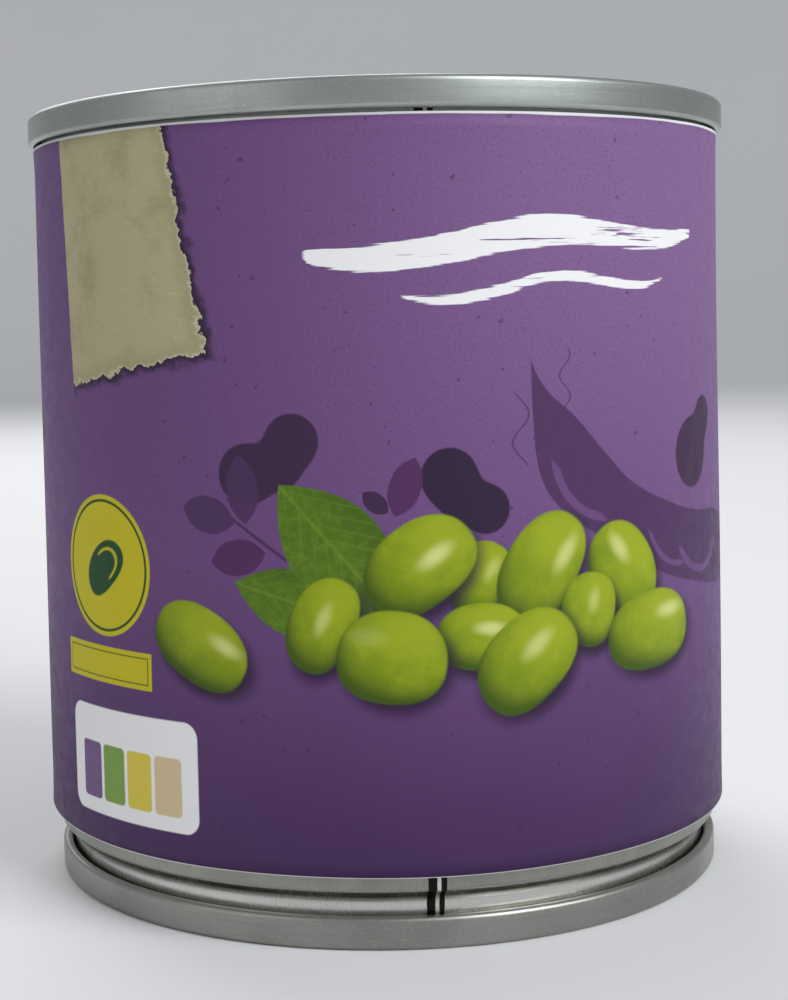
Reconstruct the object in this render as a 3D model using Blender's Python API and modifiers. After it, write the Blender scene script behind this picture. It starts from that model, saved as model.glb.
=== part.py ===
"""A three-piece tinplate food can, 73 mm body by 82 mm tall, with a ring-pull end and a paper label.

The can's axis is +Z and the origin is the middle of the ring that it stands on.  Lengths are in
millimetres until a mesh is made.  A turned piece is a section of (radius, height) points that a
Screw modifier carries once round the axis.
"""

import math

import bmesh
import bpy

MM = 0.001
FACETS = 40
FACET_ANGLE = 2 * math.pi / FACETS
BEND_STEP = math.radians(100)
ON_AXIS = 1e-6

# The outside of the can
CAN_HEIGHT = 82.0
BODY_RADIUS = 36.65
TOP_SEAM_RADIUS = 38.0
BOTTOM_SEAM_RADIUS = 36.5
TOP_SEAM_HEIGHT = 3.1
BOTTOM_SEAM_HEIGHT = 3.2

# Sheet and the spacing of a double seam's layers, counted inwards from its outer face
BODY_SHEET = 0.20
END_SHEET = 0.22
BODY_HOOK_DEPTH = 0.55
END_HOOK_DEPTH = 0.96
SEAM_BODY_DEPTH = 1.45
CHUCK_WALL_DEPTH = 1.86
BODY_HOOK_LENGTH = 1.5
END_HOOK_LENGTH = 1.55
SEAM_HEADROOM = 1.1
SEAM_BEND = 0.4

# Body wall
NECK_TOP = 5.9
NECK_FOOT = 3.9
NECK_BEND = 1.8
BEAD_COUNT = 5
BEAD_DEPTH = 0.5
BEAD_PITCH = 8.0
BEAD_MIDDLE = 43.0

# Ends: every depth is measured inwards from the rim beside it
PANEL_DEPTH = 4.4
COUNTERSINK_DEPTH = 5.1
COUNTERSINK_WIDTH = 1.2
CHUCK_TAPER = 0.5
SCORE_RADIUS = 32.3
SCORE_DEPTH = 0.09
SCORE_HALF_WIDTH = 0.15
EXPANSION_STEPS = ((30.5, 29.7), (22.5, 21.7))
EXPANSION_RISE = 0.5

# Ring pull: its nose points to -Y and its ring lies over the middle of the lid
HINGE_Y = -29.6
HINGE_HEIGHT = 78.8
TAB_UNDERSIDE = 78.6
TAB_THICKNESS = 1.1
TAB_EDGE_ROUND = 0.3
NOSE_Y = -31.7
NOSE_CORNER = 2.0
NOSE_HALF_WIDTH = 7.4
RING_Y = -7.6
RING_RADIUS = 11.5
FINGER_HOLE_HALF = (8.4, 8.6)
WINDOW_HALF = (4.0, 4.1)
TONGUE_HALF = (3.7, 3.8)
RIVET_Y = -25.35
TONGUE_UNDERSIDE = 78.65
TONGUE_THICKNESS = 0.4
RIVET_HOLE_RADIUS = 1.9
RIVET_SECTION = (
    (0.0, 79.75), (2.2, 79.70), (2.7, 79.50), (2.6, 79.25), (1.6, 79.20),
    (1.6, 78.50), (2.4, 78.45), (3.0, 78.00), (3.2, 77.45), (0.0, 77.45),
)

# Paper label, a loose sleeve that laps over itself at the back of the can
LABEL_RADIUS = 37.5
LABEL_PAPER = 0.12
LABEL_BOTTOM = 7.3
LABEL_TOP = 78.6
LAP_FACETS = 2
LAP_RISE = 0.3
GLUE_THICKNESS = 0.08
START_GLUE_RADIUS = 37.05
START_GLUE_THICKNESS = 0.25
GLUE_MARGIN = 4.0

# Contents
FILL_RADIUS = 35.5
FILL_BOTTOM = 5.95
FILL_TOP = 72.0
FILL_ROUND = 2.0

PARTS = "food_can"
CUTTERS = "cutters"


def start_scene():
    """Empties the scene and makes one collection for the can and one for its cutters."""
    for old in list(bpy.data.objects):
        bpy.data.objects.remove(old, do_unlink=True)
    for name in (PARTS, CUTTERS):
        collection = bpy.data.collections.new(name)
        bpy.context.scene.collection.children.link(collection)


def finish_material(name, colour, roughness, metallic):
    """A Principled material."""
    material = bpy.data.materials.new(name)
    material.use_nodes = True
    shader = material.node_tree.nodes["Principled BSDF"]
    shader.inputs["Base Color"].default_value = (*colour, 1.0)
    shader.inputs["Roughness"].default_value = roughness
    shader.inputs["Metallic"].default_value = metallic
    return material


def place(mesh, name, material=None, collection=PARTS):
    """An object for a mesh, in its collection and with its material."""
    made = bpy.data.objects.new(name, mesh)
    bpy.data.collections[collection].objects.link(made)
    if material:
        mesh.materials.append(material)
    return made


def place_cutter(made):
    """Hides a helper object from the finished model."""
    made.hide_render = True
    made.display_type = "WIRE"


def rounded(corners):
    """A path along straight runs between (radius, height, bend) corners, with each bend an arc."""
    path = [corners[0][:2]]
    for (ax, az, _), (bx, bz, bend), (cx, cz, _) in zip(corners, corners[1:], corners[2:]):
        arrive, leave = math.hypot(bx - ax, bz - az), math.hypot(cx - bx, cz - bz)
        ux, uz = (bx - ax) / arrive, (bz - az) / arrive
        vx, vz = (cx - bx) / leave, (cz - bz) / leave
        turn = math.acos(max(-1.0, min(1.0, ux * vx + uz * vz)))
        if not bend:
            path.append((bx, bz))
            continue
        run = bend * math.tan(turn / 2)
        centre_distance = bend / math.cos(turn / 2)
        across = math.hypot(vx - ux, vz - uz)
        mx = bx + (vx - ux) / across * centre_distance
        mz = bz + (vz - uz) / across * centre_distance
        steps = max(1, math.ceil(turn / BEND_STEP))
        for step in range(steps + 1):
            near = math.sin((1 - step / steps) * turn) / math.sin(turn)
            far = math.sin(step / steps * turn) / math.sin(turn)
            x = mx + near * (bx - ux * run - mx) + far * (bx + vx * run - mx)
            z = mz + near * (bz - uz * run - mz) + far * (bz + vz * run - mz)
            path.append((x, z))
    return path + [corners[-1][:2]]


def sheet(path, thickness):
    """The section of a sheet whose middle follows a path: out along one face, back on the other."""
    sides = ([], [])
    for i, (x, z) in enumerate(path):
        ax, az = path[max(i - 1, 0)]
        cx, cz = path[min(i + 1, len(path) - 1)]
        normals = []
        for dx, dz in ((x - ax, z - az), (cx - x, cz - z)):
            length = math.hypot(dx, dz)
            if length:
                normals.append((-dz / length, dx / length))
        nx = sum(n[0] for n in normals)
        nz = sum(n[1] for n in normals)
        size = math.hypot(nx, nz)
        nx, nz = nx / size, nz / size
        reach = thickness / 2 / (nx * normals[0][0] + nz * normals[0][1])
        for side, way in zip(sides, (1, -1)):
            side.append((x + way * reach * nx, z + way * reach * nz))
    return sides[0] + sides[1][::-1]


def outer_side_down(section):
    """The section in the order that runs down its outer side."""
    ring = zip(section, section[1:] + section[:1])
    area = sum(ax * bz - bx * az for (ax, az), (bx, bz) in ring)
    return section[::-1] if area > 0 else section


def turned(name, section, material=None, collection=PARTS, facets=FACETS):
    """A section carried once round its object's Z axis; one that meets the axis is left open there."""
    section = [(radius if radius > ON_AXIS else 0.0, height) for radius, height in section]
    section = outer_side_down(section)
    on_axis = [i for i, (radius, _) in enumerate(section) if radius == 0]
    if on_axis and on_axis[1] - on_axis[0] == 1:
        section = section[on_axis[1]:] + section[: on_axis[1]]
    count = len(section)
    edges = [(i, i + 1) for i in range(count - 1)]
    if not on_axis:
        edges.append((count - 1, 0))
    mesh = bpy.data.meshes.new(name)
    mesh.from_pydata([(radius * MM, 0.0, height * MM) for radius, height in section], edges, [])
    made = place(mesh, name, material, collection)
    screw = made.modifiers.new("turn", "SCREW")
    screw.steps = screw.render_steps = facets
    screw.use_merge_vertices = True
    screw.merge_threshold = 1e-6
    screw.use_smooth_shade = True
    return made


def joined(base, tool):
    """Adds a helper object's solid to a piece."""
    union = base.modifiers.new("join", "BOOLEAN")
    union.operation = "UNION"
    union.object = tool
    place_cutter(tool)


def can_body(material):
    """The rolled and welded wall: a hook for each seam, five rolled beads and a neck at the foot."""
    wall = BODY_RADIUS - BODY_SHEET / 2
    top_hook = TOP_SEAM_RADIUS - BODY_HOOK_DEPTH
    foot_hook = BOTTOM_SEAM_RADIUS - BODY_HOOK_DEPTH
    foot_wall = BOTTOM_SEAM_RADIUS - SEAM_BODY_DEPTH
    rim = CAN_HEIGHT - SEAM_HEADROOM
    corners = [
        (top_hook, rim - BODY_HOOK_LENGTH, 0),
        (top_hook, rim, SEAM_BEND),
        (wall, rim, SEAM_BEND),
    ]
    half = BEAD_PITCH / 2
    for bead in range(BEAD_COUNT):
        middle = BEAD_MIDDLE + BEAD_PITCH * ((BEAD_COUNT - 1) / 2 - bead)
        corners.append((wall, middle + half, 0))
        corners.append((wall - BEAD_DEPTH, middle, 0))
    corners.append((wall, BEAD_MIDDLE - BEAD_PITCH * BEAD_COUNT / 2, 0))
    corners += [
        (wall, NECK_TOP, NECK_BEND),
        (foot_wall, NECK_FOOT, NECK_BEND),
        (foot_wall, SEAM_HEADROOM, SEAM_BEND),
        (foot_hook, SEAM_HEADROOM, SEAM_BEND),
        (foot_hook, SEAM_HEADROOM + BODY_HOOK_LENGTH, 0),
    ]
    return turned("can_body", sheet(rounded(corners), BODY_SHEET), material)


def end_corners(seam_radius, seam_height):
    """An end from its hook round the seam to the inner side of the countersink, rim at height 0."""
    half = END_SHEET / 2
    hook = seam_radius - END_HOOK_DEPTH
    outer = seam_radius - half
    chuck = seam_radius - CHUCK_WALL_DEPTH
    lip = seam_height - half
    sink = COUNTERSINK_DEPTH + half
    return [
        (hook, -(lip - END_HOOK_LENGTH), 0),
        (hook, -lip, SEAM_BEND),
        (outer, -lip, SEAM_BEND),
        (outer, -half, SEAM_BEND),
        (chuck, -half, SEAM_BEND),
        (chuck - CHUCK_TAPER, -sink, SEAM_BEND),
        (chuck - CHUCK_TAPER - COUNTERSINK_WIDTH, -sink, SEAM_BEND),
        (chuck - CHUCK_TAPER - COUNTERSINK_WIDTH, -PANEL_DEPTH - half, SEAM_BEND),
    ]


def scored(section, radius, height):
    """The section with a V groove cut into its upper face at a radius."""
    groove = [
        (radius - SCORE_HALF_WIDTH, height),
        (radius, height - SCORE_DEPTH),
        (radius + SCORE_HALF_WIDTH, height),
    ]
    for i, (here, after) in enumerate(zip(section, section[1:])):
        flat = abs(here[1] - height) < 1e-6 and abs(after[1] - height) < 1e-6
        if flat and min(here[0], after[0]) < radius < max(here[0], after[0]):
            notch = groove if here[0] < after[0] else groove[::-1]
            return section[: i + 1] + notch + section[i + 1:]
    return section


def top_end(material):
    """The lid: seamed edge, countersink, scored panel and the rivet formed out of the panel."""
    corners = end_corners(TOP_SEAM_RADIUS, TOP_SEAM_HEIGHT)
    corners.append((0.0, corners[-1][1], 0))
    section = sheet(rounded(corners), END_SHEET)
    section = [(radius, height + CAN_HEIGHT) for radius, height in section]
    lid = turned("top_end", scored(section, SCORE_RADIUS, CAN_HEIGHT - PANEL_DEPTH), material)
    rivet = turned("rivet_form", list(RIVET_SECTION), None, CUTTERS, facets=20)
    rivet.location.y = RIVET_Y * MM
    joined(lid, rivet)
    return lid


def bottom_end(material):
    """The plain end, turned over: seamed edge, countersink and two expansion steps."""
    corners = end_corners(BOTTOM_SEAM_RADIUS, BOTTOM_SEAM_HEIGHT)
    height = corners[-1][1]
    for outer, inner in EXPANSION_STEPS:
        corners.append((outer, height, 0))
        height -= EXPANSION_RISE
        corners.append((inner, height, 0))
    corners.append((0.0, height, 0))
    section = sheet(rounded(corners), END_SHEET)
    return turned("bottom_end", [(radius, -depth) for radius, depth in section], material)


def seam_compound(name, seam_radius, low, high, material):
    """The rubber lining ring between a body hook and the end that is seamed over it."""
    inner = seam_radius - SEAM_BODY_DEPTH + 0.3
    outer = seam_radius - BODY_HOOK_DEPTH - 0.15
    section = [(inner, low), (outer, low), (outer, high), (inner, high)]
    return turned(name, section, material)


def arc(centre, radius, start, stop, steps):
    """Points on a circle from one angle to another, in degrees."""
    angles = [math.radians(start + (stop - start) * i / steps) for i in range(steps + 1)]
    return [(centre[0] + radius * math.cos(a), centre[1] + radius * math.sin(a)) for a in angles]


def rounded_box(half_x, half_y, centre_y, corner):
    """A rectangle with round corners, centred on X = 0."""
    x, y = half_x - corner, half_y - corner
    outline = []
    for sx, sy, start in ((1, 1, 0), (-1, 1, 90), (-1, -1, 180), (1, -1, 270)):
        outline += arc((sx * x, centre_y + sy * y), corner, start, start + 90, 2)
    return outline


def tab_outline():
    """The pull's outer edge: two nose corners, straight flanks and the ring's round end."""
    corner = (NOSE_HALF_WIDTH - NOSE_CORNER, NOSE_Y + NOSE_CORNER + 0.3)
    across, along = -corner[0], RING_Y - corner[1]
    lean = math.degrees(math.acos((NOSE_CORNER - RING_RADIUS) / math.hypot(across, along)))
    flank = math.degrees(math.atan2(along, across)) - lean
    right = arc(corner, NOSE_CORNER, -90, flank, 4)
    ring = arc((0, RING_Y), RING_RADIUS, flank, 180 - flank, 22)
    left = [(-x, y) for x, y in reversed(right)]
    return right + ring + left + [(0.0, NOSE_Y)]


def plate(name, outlines, low, thickness, material, edge_round=0.0):
    """A flat piece cut out along closed outlines, the first its edge and the others its holes."""
    curve = bpy.data.curves.new(name, "CURVE")
    curve.dimensions = "2D"
    curve.fill_mode = "BOTH"
    curve.extrude = thickness / 2 * MM
    for outline in outlines:
        spline = curve.splines.new("POLY")
        spline.points.add(len(outline) - 1)
        spline.use_cyclic_u = True
        for point, (x, y) in zip(spline.points, outline):
            point.co = (x * MM, y * MM, 0.0, 1.0)
    drawn = place(curve, name + "_outline", None, CUTTERS)
    drawn.location.z = (low + thickness / 2) * MM
    bpy.context.view_layer.update()
    evaluated = drawn.evaluated_get(bpy.context.evaluated_depsgraph_get())
    mesh = bpy.data.meshes.new_from_object(evaluated)
    shape = bmesh.new()
    shape.from_mesh(mesh)
    bmesh.ops.remove_doubles(shape, verts=shape.verts, dist=1e-6)
    shape.to_mesh(mesh)
    shape.free()
    made = place(mesh, name, material)
    made.matrix_world = drawn.matrix_world.copy()
    bpy.data.objects.remove(drawn)
    if edge_round:
        bevel = made.modifiers.new("rolled_edge", "BEVEL")
        bevel.width = edge_round * MM
        bevel.segments = 2
        bevel.limit_method = "ANGLE"
        bevel.angle_limit = math.radians(60)
    return made


def pull_ring(material):
    """The lever of the ring pull, with its nose, its finger ring and the window for its tongue."""
    half_x, half_y = FINGER_HOLE_HALF
    finger_hole = [(half_x * x, RING_Y + half_y * y) for x, y in arc((0, 0), 1, 0, 345, 23)]
    window = rounded_box(*WINDOW_HALF, RIVET_Y, 1.2)
    outlines = [tab_outline(), finger_hole, window]
    made = plate("pull_ring", outlines, TAB_UNDERSIDE, TAB_THICKNESS, material, TAB_EDGE_ROUND)
    hinge = bpy.data.objects.new("pull_ring_hinge", None)
    bpy.data.collections[PARTS].objects.link(hinge)
    hinge.location = (0.0, HINGE_Y * MM, HINGE_HEIGHT * MM)
    bpy.context.view_layer.update()
    made.parent = hinge
    made.matrix_parent_inverse = hinge.matrix_world.inverted()
    return made


def ring_tongue(material):
    """The tongue that the rivet clamps; the ring pull lifts by bending it."""
    edge = rounded_box(*TONGUE_HALF, RIVET_Y, 1.0)
    hole = arc((0, RIVET_Y), RIVET_HOLE_RADIUS, 0, 342, 19)
    return plate("ring_tongue", [edge, hole], TONGUE_UNDERSIDE, TONGUE_THICKNESS, material)


def wrapped_strip(name, angles, radii, low, high, thickness, material):
    """A thin upright strip that follows a radius round the can, with its thickness about it."""
    shape = bmesh.new()
    ring = []
    for angle, radius in zip(angles, radii):
        x, y = radius * math.cos(angle) * MM, radius * math.sin(angle) * MM
        ring.append(shape.verts.new((x, y, low * MM)))
    edges = [shape.edges.new(pair) for pair in zip(ring, ring[1:])]
    raised = bmesh.ops.extrude_edge_only(shape, edges=edges)["geom"]
    lifted = [item for item in raised if isinstance(item, bmesh.types.BMVert)]
    bmesh.ops.translate(shape, verts=lifted, vec=(0.0, 0.0, (high - low) * MM))
    mesh = bpy.data.meshes.new(name)
    shape.to_mesh(mesh)
    shape.free()
    made = place(mesh, name, material)
    wall = made.modifiers.new("paper", "SOLIDIFY")
    wall.thickness = thickness * MM
    wall.offset = 0.0
    return made


def paper_label(material):
    """The printed sleeve: once round the can and a lap more, lifted over its own start."""
    count = FACETS + LAP_FACETS
    start = math.pi / 2 - LAP_FACETS / 2 * FACET_ANGLE
    angles = [start + i * FACET_ANGLE for i in range(count + 1)]
    middle = LABEL_RADIUS - LABEL_PAPER / 2
    radii = [middle + (LAP_RISE if i >= FACETS - 1 else 0.0) for i in range(count + 1)]
    strip = ("paper_label", angles, radii, LABEL_BOTTOM, LABEL_TOP, LABEL_PAPER, material)
    return wrapped_strip(*strip)


def label_glue(name, radius, thickness, material):
    """An upright line of glue at the label's lap, behind the can."""
    inset = FACET_ANGLE / 4
    half = LAP_FACETS / 2 * FACET_ANGLE - inset
    angles = [math.pi / 2 - half, math.pi / 2, math.pi / 2 + half]
    low, high = LABEL_BOTTOM + GLUE_MARGIN, LABEL_TOP - GLUE_MARGIN
    shrink = math.cos(FACET_ANGLE / 2) / math.cos(FACET_ANGLE / 2 - inset)
    radii = [radius * shrink, radius, radius * shrink]
    return wrapped_strip(name, angles, radii, low, high, thickness, material)


def beans_in_brine(material):
    """The fill, as one plain solid with a little headspace above it."""
    edge = FILL_RADIUS - FILL_ROUND
    section = [
        (0.0, FILL_TOP), (edge, FILL_TOP), (FILL_RADIUS, FILL_TOP - FILL_ROUND),
        (FILL_RADIUS, FILL_BOTTOM + FILL_ROUND), (edge, FILL_BOTTOM), (0.0, FILL_BOTTOM),
    ]
    return turned("beans_in_brine", section, material)


def build_can():
    """Makes every piece, from the metal outwards to the paper."""
    start_scene()
    tinplate = finish_material("tinplate", (0.50, 0.51, 0.49), 0.35, 1.0)
    end_plate = finish_material("end_plate", (0.42, 0.44, 0.42), 0.42, 1.0)
    pull_metal = finish_material("pull_metal", (0.62, 0.62, 0.60), 0.30, 1.0)
    compound = finish_material("compound", (0.62, 0.60, 0.52), 0.80, 0.0)
    paper = finish_material("paper", (0.16, 0.08, 0.22), 0.50, 0.0)
    glue = finish_material("glue", (0.72, 0.66, 0.48), 0.55, 0.0)
    beans = finish_material("beans", (0.34, 0.42, 0.05), 0.45, 0.0)

    can_body(tinplate)
    top_end(end_plate)
    bottom_end(end_plate)
    rim = CAN_HEIGHT
    seam_compound("top_seam_compound", TOP_SEAM_RADIUS, rim - 0.80, rim - 0.42, compound)
    seam_compound("bottom_seam_compound", BOTTOM_SEAM_RADIUS, 0.42, 0.80, compound)
    pull_ring(pull_metal)
    ring_tongue(pull_metal)
    paper_label(paper)
    lap_glue_radius = LABEL_RADIUS - LABEL_PAPER / 2 + LAP_RISE / 2
    label_glue("label_lap_glue", lap_glue_radius, GLUE_THICKNESS, glue)
    label_glue("label_start_glue", START_GLUE_RADIUS, START_GLUE_THICKNESS, glue)
    beans_in_brine(beans)


build_can()
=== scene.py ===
"""A sealed food can of tinplate, 73 x 82 mm, with a ring-pull lid and a loose printed paper label.

Lengths are millimetres until a mesh is made.  The can's axis is Z, the floor is at 0, the front of
the label faces -Y, and an angle round the can is counted from the front, towards +X.
"""

import bmesh
import bpy
import numpy as np
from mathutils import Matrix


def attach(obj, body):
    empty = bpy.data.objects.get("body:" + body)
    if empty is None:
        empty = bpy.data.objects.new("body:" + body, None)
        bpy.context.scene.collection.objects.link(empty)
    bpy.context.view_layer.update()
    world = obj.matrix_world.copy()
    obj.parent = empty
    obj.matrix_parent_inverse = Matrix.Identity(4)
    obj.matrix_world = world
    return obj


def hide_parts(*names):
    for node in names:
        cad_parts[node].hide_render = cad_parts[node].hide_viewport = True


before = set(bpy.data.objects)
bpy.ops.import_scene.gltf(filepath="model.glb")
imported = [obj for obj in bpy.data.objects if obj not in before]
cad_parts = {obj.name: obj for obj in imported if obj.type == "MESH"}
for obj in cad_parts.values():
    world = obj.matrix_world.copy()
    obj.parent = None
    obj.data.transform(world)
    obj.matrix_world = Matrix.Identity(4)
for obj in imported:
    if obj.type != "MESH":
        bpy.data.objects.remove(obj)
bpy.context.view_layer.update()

# ---- Can body ----
# The wall is a tinplate blank, rolled round and welded down the front with a narrow lap.  It has a
# hook for each seam, five rolled beads under the label and a neck at the foot, pressed in so that a
# can stacks on the next.  Only the neck and the weld show, below the label.
MM = 0.001
CAN_HEIGHT = 82.0
BODY_RADIUS, BODY_SHEET = 36.65, 0.20
TOP_SEAM_RADIUS, BOTTOM_SEAM_RADIUS = 38.0, 36.5
BODY_HOOK_DEPTH, SEAM_BODY_DEPTH, SEAM_HEADROOM = 0.55, 1.45, 1.1
BODY_HOOK_LENGTH, NECK_TOP = 1.5, 5.8
WELD_LEFT, WELD_TRACK_LEFT, WELD_TRACK_RIGHT, WELD_RIGHT = 3.76, 4.62, 5.0, 5.56
BEAD_TOP, BEAD_FOOT, BEADS, BEAD_DEPTH = 63.0, 23.0, 5, 0.5
WELD_RISE, WELD_HALF_ANGLE = 0.05, 1.2
TURN_FACETS, SHARP_EDGE = 240, np.radians(50)


def bent(corners, step=15):
    """Straight runs between (radius, height, bend) corners.  Each bend is an arc of that radius whose
    centre lies on the corner's bisector, bend / cos(turn / 2) away, in steps of `step` degrees."""
    corners = np.array(corners, float)
    path = [corners[0, :2]]
    for before, (radius, height, bend), after in zip(corners, corners[1:], corners[2:]):
        here = np.array([radius, height])
        arrive, leave = here - before[:2], after[:2] - here
        arrive, leave = arrive / np.hypot(*arrive), leave / np.hypot(*leave)
        turn = np.arccos(np.clip(arrive @ leave, -1, 1))
        if not bend or turn < 1e-6:
            path.append(here)
            continue
        bisector = leave - arrive
        centre = here + bisector / np.hypot(*bisector) * bend / np.cos(turn / 2)
        spoke = here - arrive * bend * np.tan(turn / 2) - centre
        steps = max(1, int(np.ceil(np.degrees(turn) / step)))
        way = np.sign(arrive[0] * leave[1] - arrive[1] * leave[0])
        angle = way * np.linspace(0, turn, steps + 1)[:, None]
        across = np.array([-spoke[1], spoke[0]])
        path.extend(centre + spoke * np.cos(angle) + across * np.sin(angle))
    path.append(corners[-1, :2])
    return np.array(path)


def sheet(path, thickness):
    """The closed section of a sheet whose middle follows a path.  Each side is the path moved along
    the mitre of the two runs that meet there, by half the thickness square to either run."""
    runs = np.diff(path, axis=0)
    normals = np.stack([-runs[:, 1], runs[:, 0]], 1) / np.hypot(*runs.T)[:, None]
    mitre = np.vstack([normals[:1], normals]) + np.vstack([normals, normals[-1:]])
    mitre *= thickness / (mitre ** 2).sum(1, keepdims=True)
    section = np.vstack([path + mitre, (path - mitre)[::-1]])
    return np.vstack([section, section[:1]])


def carried_round(section, angles):
    """A (radius, height) section carried round the Z axis: rows are angles, columns its points, and a
    point stands at (radius sin angle, -radius cos angle, height)."""
    radius, height = np.maximum(section, [0, -np.inf]).T
    turn = np.radians(angles)[:, None]
    return np.stack([radius * np.sin(turn), -radius * np.cos(turn), height + 0 * turn], -1)


def surface(name, grids, plans=None):
    """One mesh of grids of points, each joined into quads along its rows and columns.  Points that
    coincide become one, which closes seams and poles, and then the faces are turned outwards.  A plan
    holds each point's place on the flat sheet, and becomes the UV map."""
    points, quads, places, start = [], [], [], 0
    for grid, plan in zip(grids, plans or [None] * len(grids)):
        rows, columns = grid.shape[:2]
        index = start + np.arange(rows * columns).reshape(rows, columns)
        corners = [index[:-1, :-1], index[1:, :-1], index[1:, 1:], index[:-1, 1:]]
        quads.append(np.stack(corners, -1).reshape(-1, 4))
        points.append(grid.reshape(-1, 3) * MM)
        places.append(np.zeros((rows * columns, 2)) if plan is None else plan.reshape(-1, 2))
        start += rows * columns
    points, quads, places = np.vstack(points), np.vstack(quads), np.vstack(places)
    mesh = bpy.data.meshes.new(name)
    mesh.from_pydata(points.tolist(), [], quads.tolist())
    mesh.uv_layers.new(name="plan").data.foreach_set("uv", places[quads.ravel()].ravel())
    shape = bmesh.new()
    shape.from_mesh(mesh)
    bmesh.ops.remove_doubles(shape, verts=shape.verts, dist=1e-7)
    bmesh.ops.dissolve_degenerate(shape, edges=shape.edges, dist=1e-8)
    bmesh.ops.recalc_face_normals(shape, faces=shape.faces)
    shape.to_mesh(mesh)
    shape.free()
    mesh.shade_smooth()
    made = bpy.data.objects.new(name, mesh)
    bpy.context.scene.collection.objects.link(made)
    return made


class Field:
    """A number, vector or colour that varies over a surface: one output of a material's nodes.  Sums
    and products of fields become Math nodes."""

    def __init__(self, tree, socket):
        self.tree, self.socket = tree, socket

    def node(self, kind, inputs, output=0, **settings):
        """A node in the same material with fields or constants on its inputs, as its output's field."""
        node = self.tree.nodes.new("ShaderNode" + kind)
        for setting, value in settings.items():
            setattr(node, setting, value)
        for slot, value in inputs.items():
            connect(self.tree, node.inputs[slot], value)
        return Field(self.tree, node.outputs[output])

    def math(self, operation, *others):
        """One Math operation on the field and others."""
        return self.node("Math", dict(enumerate((self, *others))), operation=operation)

    def ramp(self, low, high, start=0.0, stop=1.0):
        """Rises smoothly from start, where the field is low, to stop, where it is high."""
        inputs = dict(enumerate((self, low, high, start, stop)))
        return self.node("MapRange", inputs, interpolation_type="SMOOTHSTEP")

    def doing(operation):
        """A method that is one Math operation."""
        return lambda self, *others: self.math(operation, *others)

    __add__, __sub__, __mul__ = doing("ADD"), doing("SUBTRACT"), doing("MULTIPLY")
    __pow__, __abs__ = doing("POWER"), doing("ABSOLUTE")
    least, most = doing("MINIMUM"), doing("MAXIMUM")


def connect(tree, slot, value):
    """Links a field to a socket, or sets the socket to a constant."""
    if isinstance(value, Field):
        tree.links.new(value.socket, slot)
    elif slot.type == "RGBA":
        slot.default_value = (*value, 1.0)
    else:
        slot.default_value = value


def painted(under, over, cover):
    """The colour under, covered by the colour over as far as a field covers it."""
    return cover.node("Mix", {0: cover, 6: under, 7: over}, 2, data_type="RGBA")


def separated(vector):
    """A vector's three coordinates."""
    parts = vector.node("SeparateXYZ", {0: vector}).socket.node
    return [Field(vector.tree, socket) for socket in parts.outputs]


def placed(vector, centre, angle=0.0, half=(1, 1)):
    """The two coordinates of a shape's own frame: its centre at 0, turned by angle degrees, and its
    half sizes at 1.  Each is a weighted sum of the vector's two, which keeps few values in use."""
    across, up, _ = separated(vector)
    cosine, sine = np.cos(np.radians(angle)), np.sin(np.radians(angle))
    own = []
    for weights, size in zip(((cosine, sine), (-sine, cosine)), half):
        start = -np.dot(centre, weights) / size
        partly = up.math("MULTIPLY_ADD", weights[1] / size, start)
        own.append(across.math("MULTIPLY_ADD", weights[0] / size, partly))
    return own


def stretched(vector, scales):
    """A vector with each coordinate multiplied by its own scale."""
    return vector.node("VectorMath", {0: vector, 1: scales}, operation="MULTIPLY")


def mottle(vector, scale, detail=3.0, roughness=0.5):
    """Soft noise from 0 to 1, with `scale` lumps to a unit of the vector."""
    return vector.node("TexNoise", {"Vector": vector, "Scale": scale, "Detail": detail,
                                    "Roughness": roughness})


def finish(name):
    """A new material, with its flat plan in millimetres and its Object place."""
    material = bpy.data.materials.new(name)
    material.use_nodes = True
    tree = material.node_tree
    plan = tree.nodes.new("ShaderNodeUVMap")
    plan.uv_map = "plan"
    place = tree.nodes.new("ShaderNodeTexCoord")
    return material, Field(tree, plan.outputs[0]), Field(tree, place.outputs["Object"])


def coated(material, colour, rough, height, depth, metallic=0.0, specular=0.5):
    """Gives a material its colour and roughness, and bumps its normal by a height field, of which a
    step of 1 stands `depth` mm high."""
    shader = material.node_tree.nodes["Principled BSDF"]
    shader.inputs["Metallic"].default_value = metallic
    shader.inputs["Specular IOR Level"].default_value = specular
    normal = height.node("Bump", {"Distance": depth * MM, "Height": height})
    for slot, field in (("Base Color", colour), ("Roughness", rough), ("Normal", normal)):
        connect(material.node_tree, shader.inputs[slot], field)
    return material


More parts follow.
